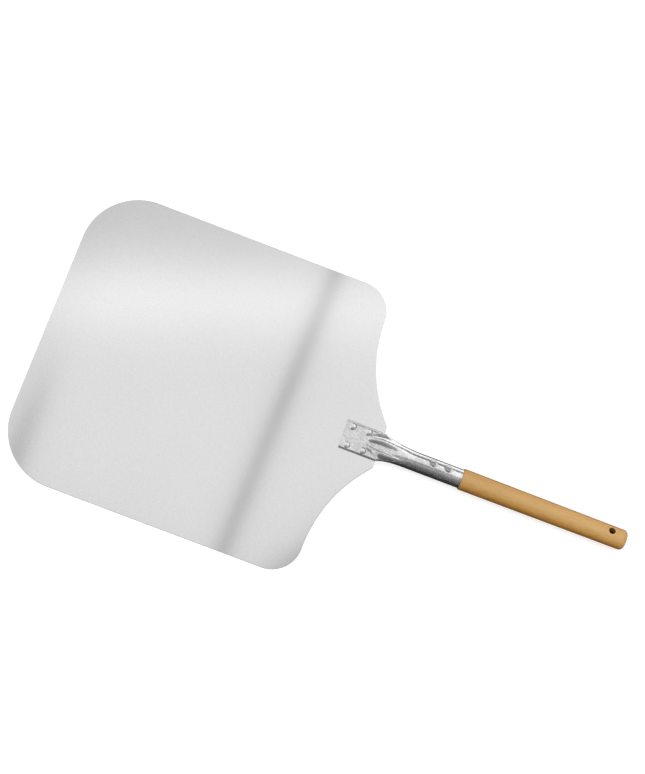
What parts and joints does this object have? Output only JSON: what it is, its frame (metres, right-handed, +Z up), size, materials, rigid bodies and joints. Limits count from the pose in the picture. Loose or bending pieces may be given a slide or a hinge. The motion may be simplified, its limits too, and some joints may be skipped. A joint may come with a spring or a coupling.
{
  "type": "pizza peel",
  "caption": "Flat aluminium pizza peel with rounded corners, a riveted steel socket and a round wooden handle with a hanging hole.",
  "frame": {"origin": "on the blade's underside, at the middle of the blade's length and width", "axes": "+X along the handle, from the blade's front edge to the handle's end; +Z up, out of the blade's top face; +Y across the blade"},
  "size_m": [0.7112, 0.3556, 0.0266],
  "materials": {
    "blade": "satin, fine brushed",
    "socket": "bright zinc plated",
    "handle": "sanded and lacquered beech",
    "rivets": "bright",
    "nails": "bright"
  },
  "bodies": {
    "root": {"blade": "blade", "socket": "socket", "handle": "handle", "rivet_front_left": "rivets", "rivet_front_right": "rivets", "rivet_rear_left": "rivets", "rivet_rear_right": "rivets", "nail_front": "nails", "nail_rear": "nails"}
  },
  "joints": []
}
